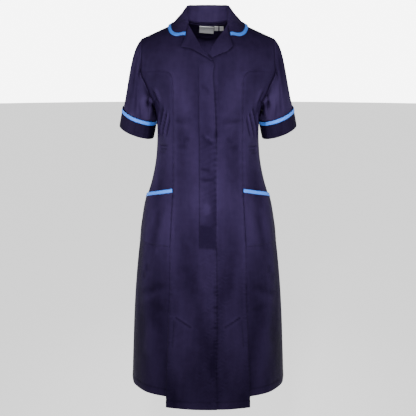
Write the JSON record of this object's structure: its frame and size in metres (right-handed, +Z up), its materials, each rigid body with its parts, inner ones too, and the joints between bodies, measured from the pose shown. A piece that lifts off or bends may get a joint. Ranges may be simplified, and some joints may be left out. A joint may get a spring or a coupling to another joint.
{
  "type": "nurse uniform dress",
  "caption": "Short-sleeved nurse uniform dress in its worn, hollow shape: revere collar, princess seams, patch pockets, turned-up cuffs, kick pleats and contrast braid",
  "frame": {"origin": "Middle of the shoulder line, level with the neck ends of the shoulder seams, where the wearer's shoulders hold the dress.", "axes": "+Z up, the front faces -Y, +X to the wearer's left."},
  "size_m": [0.4852, 0.3477, 1.0784],
  "materials": {
    "cloth": "soft satin",
    "braid": "matte",
    "label": "matte"
  },
  "bodies": {
    "root": {"front_centre_right": "cloth", "front_centre_left": "cloth", "front_side_right": "cloth", "front_side_left": "cloth", "back": "cloth", "back_neck_facing": "cloth", "sleeve_right": "cloth", "sleeve_left": "cloth", "cuff_right": "cloth", "cuff_left": "cloth", "cuff_trim_right": "braid", "cuff_trim_left": "braid", "collar": "cloth", "collar_trim": "braid", "revere_right": "cloth", "revere_left": "cloth", "pocket_right": "cloth", "pocket_left": "cloth", "pocket_trim_right": "braid", "pocket_trim_left": "braid", "label_main": "label", "label_size_1": "label", "label_size_2": "label"}
  },
  "joints": []
}
